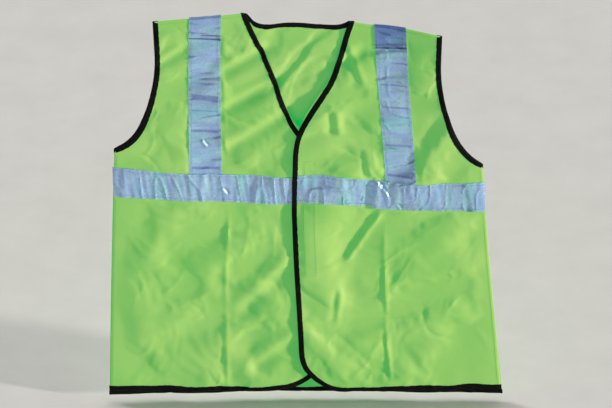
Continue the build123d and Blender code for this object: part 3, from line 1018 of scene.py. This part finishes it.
def back_tape_threads(side, material):
    """Stitch rows of a back shoulder tape: up, over the shoulder, and across the lapped end."""
    surface = FRONT[side]
    rows = upright_rows(BACK, side, BACK_TAPE_X, WAIST_HIGH + 0.002, TIP_Z + 0.004, 0)
    rows += upright_rows(surface, side, FRONT_TAPE_X, TAPE_LAP_Z + 0.002, TIP_Z + 0.004, LAP_LIFT)
    for rise in (0.003, 0.009):
        z = TAPE_LAP_Z + rise
        middle, half = SIGN[side] * FRONT_TAPE_X(z), TAPE / 2 - TAPE_MARGIN
        rows.append(stitch_row(surface, [[middle - half, z], [middle + half, z]], LAP_THREAD))
    stitches(side + "_over_shoulder_stitches", rows, material, side + "_back_shoulder_tape_thread",
             body="vest_body")


def front_tape_threads(side, material):
    """Stitch rows of a front shoulder tape and of that front's waist tape."""
    rows = upright_rows(FRONT[side], side, FRONT_TAPE_X, WAIST_HIGH + 0.002, TAPE_LAP_Z - 0.002, 0)
    stitches(side + "_front_upright_stitches", rows, material, side + "_front_shoulder_tape_thread",
             body="vest_body")
    start = 0.007 if side == "right" else 0.002
    rows = level_rows(FRONT[side], start, SIGN[side] * (side_x(WAIST_Z) - 0.003), FRONT_TAPE_X)
    obj, flat = stitches(side + "_front_waist_stitches", rows, material,
                         side + "_waist_tape_flap_thread", side + "_waist_tape_side_thread")
    fold_open(obj, side, flat)


def seam_threads(side, material):
    """Topstitching beside the shoulder seam and the side seam, on the front."""
    surface, sign = FRONT[side], SIGN[side]
    x = np.array([NECK_X + 0.010, TIP_X - 0.010])
    shoulder = np.stack([sign * x, shoulder_z(x) - SEAM_MARGIN], 1)
    rows = [stitch_row(surface, shoulder, CLOTH_THREAD)]
    stitches(side + "_shoulder_stitches", rows, material, side + "_shoulder_seam_thread",
             body="vest_body")
    rows = []
    for low, high in ((0.028, WAIST_LOW - 0.002), (WAIST_HIGH + 0.002, ARMHOLE_Z - 0.012)):
        z = np.linspace(low, high, 60)
        seam = np.stack([sign * (side_x(z) - SEAM_MARGIN), z], 1)
        rows.append(stitch_row(surface, seam, CLOTH_THREAD))
    stitches(side + "_side_seam_stitches", rows, material, side + "_side_seam_thread",
             body="vest_body")


# ---- hook and loop closure

STRIP_BASE = 0.0006
STRIP_CLEAR = 0.0001
STRIP_STITCH_INSET = 0.0015
PILE = 0.0009
PILE_PITCH = 0.0016
PILE_SHIFT = 0.0003
PILE_RADIUS = 0.00017
PILE_EDGE = 0.0015


def strip_base(surface, low, high):
    """Flat woven ground of a closure strip."""
    z = np.linspace(STRIP_LOW.z, STRIP_HIGH.z, 110)[:, None]
    x = STRIP_X + np.linspace(-STRIP_HALF, STRIP_HALF, 12)[None, :]
    x, z = np.broadcast_arrays(x, z)
    return surface.place(x, z, high), surface.place(x, z, low), on_pattern(x, z)


def pile(surface, ground, towards, seed, curl):
    """Small hooks or loops standing on a strip: bent rods of four rings."""
    rng = np.random.default_rng(seed)
    half = STRIP_HALF - PILE_EDGE
    xs = np.arange(STRIP_X - half, STRIP_X + half + STRIP_CLEAR, PILE_PITCH)
    zs = np.arange(STRIP_LOW.z + PILE_EDGE, STRIP_HIGH.z - PILE_EDGE + STRIP_CLEAR, PILE_PITCH)
    x, z = [a.ravel() for a in np.meshgrid(xs, zs)]
    x = x + rng.uniform(-PILE_SHIFT, PILE_SHIFT, x.shape)
    z = z + rng.uniform(-PILE_SHIFT, PILE_SHIFT, z.shape)
    lean = rng.uniform(-curl, curl, x.shape)[:, None, None]
    t = np.array([0, 0.45, 0.8, 1.0])[None, :, None]
    turn = (2 * math.pi * np.arange(4) / 4)[None, None, :]
    radius = PILE_RADIUS * (1 - 0.5 * t)
    px = x[:, None, None] + lean * t * t + radius * np.cos(turn)
    pz = z[:, None, None] + curl * 0.8 * t * t + radius * np.sin(turn)
    height = ground + towards * PILE * np.sin(t * math.pi / 1.7) + 0 * px
    return surface.place(px, pz, height), np.stack([px, pz, 0 * px + 2], -1)


def joined(name, base, tufts):
    """One mesh of a strip's ground and all its pile."""
    outer, inner, flat = base
    rings = np.concatenate([outer, inner[:, ::-1]], 1)
    ring_flat = np.concatenate([flat, flat[:, ::-1]], 1)
    count, rows, corners = tufts[0].shape[:3]
    start = rings.shape[0] * rings.shape[1]
    pile_faces = repeated(ring_faces(rows, corners), count, rows * corners, start)
    points = np.concatenate([rings.reshape(-1, 3), tufts[0].reshape(-1, 3)])
    places = np.concatenate([ring_flat.reshape(-1, 3), tufts[1].reshape(-1, 3)])
    return mesh_object(name, points, np.concatenate([ring_faces(*rings.shape[:2]), pile_faces]), places)


def strip_rows(surface, height):
    """Stitch rows round a strip."""
    inset = STRIP_STITCH_INSET
    x_low, x_high = STRIP_X - STRIP_HALF + inset, STRIP_X + STRIP_HALF - inset
    z_low, z_high = STRIP_LOW.z + inset, STRIP_HIGH.z - inset
    corners = [[x_low, z_low], [x_low, z_high], [x_high, z_high], [x_high, z_low], [x_low, z_low]]
    return [stitch_row(surface, ends, height) for ends in zip(corners, corners[1:])]


def closure(hook_material, loop_material, thread):
    """Hook strip inside the wearer's left front, loop strip outside the right one, and stitches."""
    over, under = FRONT["left"], FRONT["right"]
    ground = -STRIP_CLEAR - STRIP_BASE
    hooks = joined("hook_pad", strip_base(over, ground, -STRIP_CLEAR),
                   pile(over, ground, -1, 91, 0.0004))
    finish_piece(hooks, hook_material, "hook_tape", "hook_strip", body="left_front_flap")
    ground = FABRIC + STRIP_CLEAR + STRIP_BASE
    loops = joined("loop_pad", strip_base(under, FABRIC + STRIP_CLEAR, ground),
                   pile(under, ground, 0.55, 92, 0.0007))
    finish_piece(loops, loop_material, "loop_tape", "loop_strip", body="right_front_flap")
    stitches("hook_pad_stitches", strip_rows(over, CLOTH_THREAD), thread, "hook_strip_thread",
             body="left_front_flap")
    stitches("loop_pad_stitches", strip_rows(under, ground + 0.0005), thread, "loop_strip_thread",
             body="right_front_flap")


# ---- materials

class Shader:
    """Short way to write a material's nodes."""

    def __init__(self, name):
        self.material = bpy.data.materials.new(name)
        self.material.use_nodes = True
        self.tree = self.material.node_tree
        self.surface = self.tree.nodes["Principled BSDF"]
        self.place = self.node("ShaderNodeAttribute")
        self.place.attribute_name = "flat"
        self.flat = self.place.outputs["Vector"]

    def node(self, kind, **settings):
        made = self.tree.nodes.new(kind)
        for key, value in settings.items():
            setattr(made, key, value)
        return made

    def feed(self, socket, value):
        """Link a socket, or set its value."""
        if isinstance(value, bpy.types.NodeSocket):
            self.tree.links.new(value, socket)
        else:
            socket.default_value = value

    def math(self, operation, a, b=0.0, clamp=False):
        made = self.node("ShaderNodeMath", operation=operation, use_clamp=clamp)
        self.feed(made.inputs[0], a)
        self.feed(made.inputs[1], b)
        return made.outputs[0]

    def scaled(self, factors):
        made = self.node("ShaderNodeVectorMath", operation="MULTIPLY")
        self.feed(made.inputs[0], self.flat)
        made.inputs[1].default_value = factors
        return made.outputs[0]

    def noise(self, vector, scale, detail=3.0, rough=0.5):
        made = self.node("ShaderNodeTexNoise")
        self.feed(made.inputs["Vector"], vector)
        made.inputs["Scale"].default_value = scale
        made.inputs["Detail"].default_value = detail
        made.inputs["Roughness"].default_value = rough
        return made.outputs[0]

    def ramp(self, value, stops):
        """Colour or grey ramp from (position, (r, g, b)) stops."""
        made = self.node("ShaderNodeValToRGB")
        self.feed(made.inputs[0], value)
        elements = made.color_ramp.elements
        while len(elements) < len(stops):
            elements.new(0.5)
        for element, (position, color) in zip(elements, stops):
            element.position = position
            element.color = (*color, 1)
        return made.outputs[0]

    def mix(self, share, a, b, blend="MIX"):
        made = self.node("ShaderNodeMix", data_type="RGBA", blend_type=blend)
        self.feed(made.inputs[0], share)
        self.feed(made.inputs[6], a if isinstance(a, bpy.types.NodeSocket) else (*a, 1))
        self.feed(made.inputs[7], b if isinstance(b, bpy.types.NodeSocket) else (*b, 1))
        return made.outputs[2]

    def wave(self, axis_value, period):
        """Sine of a coordinate with a period in metres."""
        return self.math("SINE", self.math("MULTIPLY", axis_value, 2 * math.pi / period))

    def axes(self):
        made = self.node("ShaderNodeSeparateXYZ")
        self.feed(made.inputs[0], self.flat)
        return made.outputs

    def line(self, value, place, half, soft):
        """One where a value is within half of a place, falling to zero over a soft distance."""
        off = self.math("ABSOLUTE", self.math("SUBTRACT", value, place))
        return self.math("SUBTRACT", 1 + half / soft, self.math("DIVIDE", off, soft), clamp=True)

    def bump(self, height, strength, distance):
        made = self.node("ShaderNodeBump")
        made.inputs["Strength"].default_value = strength
        made.inputs["Distance"].default_value = distance
        self.feed(made.inputs["Height"], height)
        self.feed(self.surface.inputs["Normal"], made.outputs[0])

    def set(self, **values):
        for key, value in values.items():
            socket = self.surface.inputs[key.replace("_", " ")]
            if isinstance(value, tuple) and len(value) == 3 and socket.type == "RGBA":
                value = (*value, 1)
            self.feed(socket, value)


KNIT_WALE = 0.0013
KNIT_COURSE = 0.0011


def fluorescent_fabric():
    """Warp-knit polyester that glows green in the shade and turns yellower in full light; the glow is
    painted, a constant emission that stands partly for its fluorescence and partly for light in the shade.
    """
    shader = Shader("fluorescent_fabric")
    x, z, _ = shader.axes()
    blotch = shader.noise(shader.flat, 6.0, 4.0)
    fine = shader.noise(shader.flat, 90.0, 4.0, 0.6)
    tint = shader.ramp(blotch, [(0.3, (0.34, 0.33, 0.085)), (0.7, (0.44, 0.38, 0.13))])
    tint = shader.mix(shader.math("MULTIPLY", fine, 0.16), tint, (0.22, 0.34, 0.06))
    # Painted glow: constant green emission that keeps shaded cloth bright, partly the dye's fluorescence.
    painted_glow = shader.mix(shader.math("MULTIPLY", blotch, 0.3), (0.003, 0.39, 0.076), (0.001, 0.32, 0.060))
    wales = shader.wave(x, KNIT_WALE)
    courses = shader.wave(z, KNIT_COURSE)
    loops = shader.math("MULTIPLY", wales, courses)
    knit = shader.math("ADD", loops, shader.math("MULTIPLY", wales, 0.6))
    fibre = shader.math("MULTIPLY", shader.noise(shader.flat, 700.0, 3.0, 0.7), 1.2)
    shader.bump(shader.math("ADD", knit, fibre), 0.35, 0.00012)
    shader.set(Base_Color=tint, Roughness=0.62, Emission_Color=painted_glow, Emission_Strength=0.85,
               Sheen_Weight=0.25, Sheen_Roughness=0.4, Sheen_Tint=(0.8, 0.95, 0.6),
               Specular_IOR_Level=0.3)
    return shader.material


def edge_binding():
    """Black folded ribbon with fine ribs across it and a stitch groove."""
    shader = Shader("edge_binding")
    along, across, _ = shader.axes()
    ribs = shader.wave(along, 0.0012)
    dust = shader.noise(shader.flat, 120.0, 4.0, 0.6)
    color = shader.ramp(dust, [(0.35, (0.0010, 0.0010, 0.0015)), (0.75, (0.0035, 0.0035, 0.005))])
    groove = shader.math("ABSOLUTE", shader.math("SUBTRACT", across, 0.0064))
    groove = shader.math("MULTIPLY", shader.math("LESS_THAN", groove, 0.0003), -2.0)
    shader.bump(shader.math("ADD", shader.math("ADD", ribs, dust), groove), 0.5, 0.00015)
    shader.set(Base_Color=color, Roughness=0.65, Sheen_Weight=0.03, Sheen_Roughness=0.4,
               Specular_IOR_Level=0.12)
    return shader.material


# Lines on the tape: the pressed border near each edge, the seams of a lap over its end, and
# painted shade across it where the film folds away from the light, each (height, half width)
BORDER_X = 0.0208
BORDER_SOFT = 0.0006
LAP_SEAMS = (0.002, 0.0085)
SEAM_HALF = 0.00048
SEAM_SOFT = 0.0012
FOLD_SHADE_SOFT = 0.0016
FOLD_SHADE_REACH = 0.0215
LEFT_FOLD_SHADE = ((0.590, 0.0005), (0.548, 0.0007), (0.478, 0.0010), (0.420, 0.0012))
RIGHT_FOLD_SHADE = ((0.551, 0.0052), (0.487, 0.0016), (0.419, 0.0014), (0.525, 0.0003))


def reflective_tape(name, shade, lap_lines=False, fold_shade=()):
    """Silver retroreflective film, mottled pale blue, lavender and teal, partly painted reflection of the
    sky and of its wrinkles, with a pressed border line.
    Lap lines are the two dark seams across the end that is lapped over another tape.
    Fold shade is painted shade across the film, duller and violet, where it folds away from the light."""
    shader = Shader(name)
    along, across, _ = shader.axes()
    # Painted reflection, in part: the blue tint and the light and dark stripes across the film stand for sky
    # and wrinkles reflected in it.
    reflection_mottle = shader.noise(shader.scaled((24.0, 7.0, 1.0)), 1.0, 3.0, 0.55)
    patches = shader.noise(shader.scaled((60.0, 45.0, 1.0)), 1.0, 5.0, 0.65)
    color = shader.ramp(reflection_mottle, [(0.30, (0.25, 0.62, 0.76)), (0.41, (0.35, 0.68, 0.92)),
                                (0.50, (0.36, 0.54, 0.94)), (0.56, (0.41, 0.68, 0.95)),
                                (0.70, (0.25, 0.66, 0.72))])
    color = shader.mix(shader.ramp(patches, [(0.45, (0, 0, 0)), (0.75, (0.6, 0.6, 0.6))]), color,
                       (0.56, 0.82, 0.98))
    # Painted shade: the shade colour darkens the whole film, for a copy that stands for a piece turned away
    # from the light.
    color = shader.mix(1.0, color, shade, "MULTIPLY")
    beside = shader.math("ABSOLUTE", across)
    line = shader.line(beside, BORDER_X, 0, BORDER_SOFT)
    dark = shader.math("MULTIPLY", line, 0.45)
    if lap_lines:
        for rise in LAP_SEAMS:
            seam = shader.line(along, -TAPE_LAP_Z - rise, SEAM_HALF, SEAM_SOFT)
            dark = shader.math("MAXIMUM", dark, seam)
    color = shader.mix(dark, color, (0.05, 0.08, 0.25))
    # Painted shade: violet stripes across the tape where folds turn the film away from the light.
    for shade_z, half in fold_shade:
        painted_fold_shade = shader.line(along, -shade_z, half, FOLD_SHADE_SOFT)
        inner = shader.math("LESS_THAN", beside, FOLD_SHADE_REACH)
        painted_fold_shade = shader.math("MULTIPLY", shader.math("MULTIPLY", painted_fold_shade, inner), 0.65)
        color = shader.mix(painted_fold_shade, color, (0.13, 0.19, 0.60))
    prism = shader.node("ShaderNodeTexVoronoi")
    shader.feed(prism.inputs["Vector"], shader.flat)
    prism.inputs["Scale"].default_value = 900.0
    height = shader.math("ADD", shader.math("MULTIPLY", prism.outputs["Distance"], 0.12),
                         shader.math("MULTIPLY", line, -1.0))
    shader.bump(shader.math("ADD", height, shader.math("MULTIPLY", patches, 1.6)), 0.35, 0.0003)
    rough = shader.ramp(patches, [(0.3, (0.20, 0.20, 0.20)), (0.8, (0.36, 0.36, 0.36))])
    shader.set(Base_Color=color, Metallic=0.45, Roughness=rough, Coat_Weight=0.7, Coat_Roughness=0.10)
    return shader.material


def sewing_thread(name, dark, light):
    """Twisted polyester thread."""
    shader = Shader(name)
    strands = shader.noise(shader.flat, 900.0, 3.0, 0.6)
    color = shader.ramp(strands, [(0.3, dark), (0.7, light)])
    shader.bump(strands, 0.5, 0.0001)
    shader.set(Base_Color=color, Roughness=0.5, Sheen_Weight=0.2)
    return shader.material


def pile_tape(name, ground, tip):
    """Closure tape: woven ground with lighter hooks or loops, and a faint painted glow for its fluorescent
    dye.
    """
    shader = Shader(name)
    x, z, part = shader.axes()
    weave = shader.math("MULTIPLY", shader.wave(x, 0.0008), shader.wave(z, 0.0008))
    fuzz = shader.noise(shader.flat, 500.0, 3.0, 0.6)
    color = shader.mix(shader.math("MULTIPLY", part, 0.5, clamp=True), ground, tip)
    color = shader.mix(shader.math("MULTIPLY", fuzz, 0.5), color, ground)
    shader.bump(shader.math("ADD", weave, fuzz), 0.5, 0.00015)
    # Painted glow: the tape's colour is also given as emission, so the strips stay green in shade.
    shader.set(Base_Color=color, Roughness=0.7, Sheen_Weight=0.3, Emission_Color=color,
               Emission_Strength=0.3)
    return shader.material


def floor_material():
    """Pale seamless backdrop with a faint grain."""
    shader = Shader("pale_floor")
    spot = shader.node("ShaderNodeTexCoord").outputs["Object"]
    grain = shader.noise(spot, 14.0, 5.0, 0.6)
    shader.set(Base_Color=shader.ramp(grain, [(0.3, (0.62, 0.62, 0.61)), (0.7, (0.66, 0.66, 0.65))]),
               Roughness=0.85, Specular_IOR_Level=0.2)
    return shader.material


# ---- floor, light and camera

FLOOR_Z = -0.012
FLOOR_REACH = 9.0
WORLD_GLOW = 0.07
WORLD_SEEN = 0.6
ELEVATION = math.radians(31)
CAMERA_DISTANCE = 16.0
LENS = 588
AIM = Vector((0.0140, 0.0, 0.3564))


def make_floor():
    """Large pale floor just under the hem."""
    mesh = bpy.data.meshes.new("pale_floor")
    corners = [(-1, -1), (1, -1), (1, 1), (-1, 1)]
    points = [(FLOOR_REACH * x, FLOOR_REACH * y, FLOOR_Z) for x, y in corners]
    mesh.from_pydata(points, [], [(0, 1, 2, 3)])
    mesh.materials.append(floor_material())
    floor = bpy.data.objects.new("pale_floor", mesh)
    bpy.context.scene.collection.objects.link(floor)


def make_light(name, towards, strength, spread, color):
    """Far studio light shining from a direction, its softness an angle in degrees."""
    data = bpy.data.lights.new(name, "SUN")
    data.angle = math.radians(spread)
    data.energy = strength
    data.color = color
    light = bpy.data.objects.new(name, data)
    light.rotation_euler = Vector(towards).to_track_quat("Z", "Y").to_euler()
    bpy.context.scene.collection.objects.link(light)


def make_world():
    """Even surroundings that shine faintly, and look pale where the camera sees past the floor."""
    world = bpy.data.worlds.new("studio")
    world.use_nodes = True
    nodes, links = world.node_tree.nodes, world.node_tree.links
    background = nodes["Background"]
    background.inputs["Color"].default_value = (0.92, 0.95, 1.0, 1)
    seen = nodes.new("ShaderNodeMath")
    seen.operation = "MULTIPLY_ADD"
    seen.inputs[1].default_value = WORLD_SEEN
    seen.inputs[2].default_value = WORLD_GLOW
    links.new(nodes.new("ShaderNodeLightPath").outputs["Is Camera Ray"], seen.inputs[0])
    links.new(seen.outputs[0], background.inputs["Strength"])
    bpy.context.scene.world = world


def make_camera():
    """Camera in front of the vest, looking down at it."""
    data = bpy.data.cameras.new("camera")
    data.lens = LENS
    data.clip_end = 100
    camera = bpy.data.objects.new("camera", data)
    towards = Vector((0, -math.cos(ELEVATION), math.sin(ELEVATION)))
    camera.location = AIM + towards * CAMERA_DISTANCE
    camera.rotation_euler = towards.to_track_quat("Z", "Y").to_euler()
    bpy.context.scene.collection.objects.link(camera)
    bpy.context.scene.camera = camera


# ---- the vest

def make_vest():
    """Every visible piece."""
    fabric, black = fluorescent_fabric(), edge_binding()
    film = reflective_tape("reflective_tape", (1.0, 1.0, 1.0))
    # Painted shade: copies of the film darkened for pieces turned away from the light, slightly on the front
    # shoulder tapes and strongly on the wearer's left lapped end.
    front_shade = (0.97, 0.98, 1.0)
    upright = {"left": reflective_tape("reflective_tape_left_front", front_shade, fold_shade=LEFT_FOLD_SHADE),
               "right": reflective_tape("reflective_tape_right_front", front_shade, fold_shade=RIGHT_FOLD_SHADE)}
    lapped = {"left": reflective_tape("reflective_tape_left_lap_shaded", (0.42, 0.50, 0.72), True),
              "right": reflective_tape("reflective_tape_right_lap_shaded", (0.92, 0.92, 0.98), True)}
    pale_thread = sewing_thread("tape_thread", (0.24, 0.33, 0.52), (0.50, 0.60, 0.80))
    green_thread = sewing_thread("cloth_thread", (0.14, 0.42, 0.08), (0.26, 0.56, 0.13))
    hook = pile_tape("hook_tape", (0.10, 0.30, 0.05), (0.25, 0.50, 0.12))
    loop = pile_tape("loop_tape", (0.12, 0.34, 0.06), (0.34, 0.58, 0.18))
    back_panel(fabric)
    back_waist_tape(film)
    rows = level_rows(BACK, -side_x(WAIST_Z) + 0.003, side_x(WAIST_Z) - 0.003, BACK_TAPE_X)
    stitches("back_waist_stitches", rows, pale_thread, "back_waist_tape_thread", body="vest_body")
    x = np.linspace(-NECK_X, NECK_X, 60)
    neckline = resample(np.stack([x, neck_z(x)], 1), PATH_STEP)
    back_binding("back_neck_edge", neckline, 1, black, "back_neck_binding")
    x = np.linspace(-HEM_HALF, HEM_HALF, 200)
    back_binding("back_hem_edge", np.stack([x, 0 * x], 1), -1, black, "back_hem_binding")
    for side in ("left", "right"):
        front_panel(side, fabric)
        front_binding(side, black)
        armhole_binding(side, black)
        front_waist_tape(side, film)
        front_shoulder_tape(side, upright[side])
        back_shoulder_tape(side, lapped[side])
        back_tape_threads(side, pale_thread)
        front_tape_threads(side, pale_thread)
        seam_threads(side, green_thread)
    closure(hook, loop, green_thread)


make_vest()
make_floor()
make_light("key", (0.94, -0.29, 0.14), 4.4, 4, (1.0, 0.96, 0.86))
make_light("overhead", (0.05, 0.30, 1.0), 1.3, 50, (1.0, 0.98, 0.95))
make_light("fill", (-0.6, -0.7, 0.6), 0.10, 60, (0.85, 0.93, 1.0))
make_light("back", (-0.75, 0.45, 0.55), 1.6, 15, (1.0, 0.98, 0.94))
make_world()
make_camera()
bpy.context.scene.view_settings.view_transform = "Standard"
